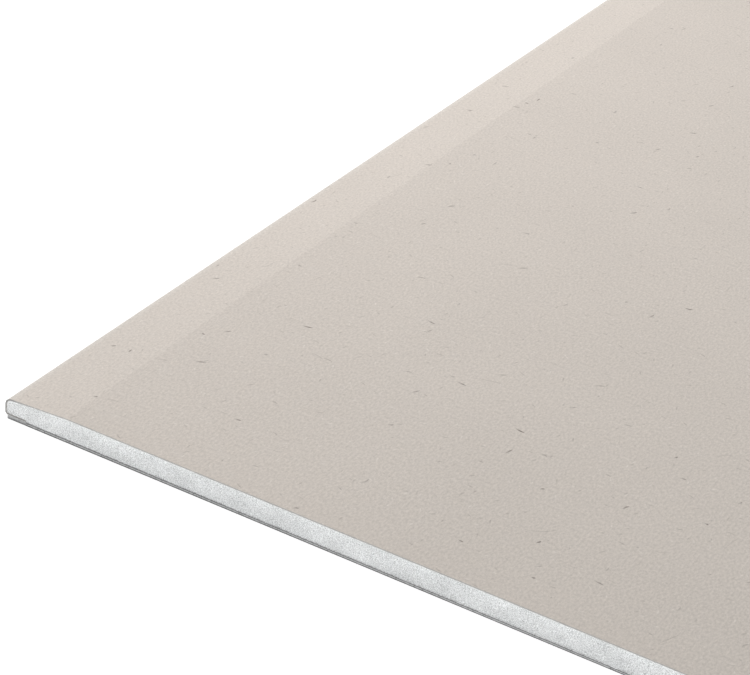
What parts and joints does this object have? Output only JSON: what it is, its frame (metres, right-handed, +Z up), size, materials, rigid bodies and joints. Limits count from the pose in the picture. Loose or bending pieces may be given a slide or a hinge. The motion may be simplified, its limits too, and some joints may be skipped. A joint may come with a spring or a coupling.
{
  "type": "drywall sheet",
  "caption": "Tapered-edge drywall sheet: gypsum core in a face paper that wraps the long edges, a flat back paper over its folds, and bare square-cut ends.",
  "frame": {"origin": "middle of the sheet's back, in the plane of the floor that it lies on", "axes": "+X across the width, +Y along the length, +Z up through the thickness and out of the face side"},
  "size_m": [1.2, 2.4, 0.0125],
  "materials": {
    "gypsum": "cast gypsum, bare and sawn at the ends, matt and finely pitted",
    "face_paper": "warm light-grey face paper, matt, faintly fibred",
    "back_paper": "grey recycled back paper, matt, coarser fibre"
  },
  "bodies": {
    "root": {"gypsum_core": "gypsum", "face_paper": "face_paper", "back_paper": "back_paper"}
  },
  "joints": []
}
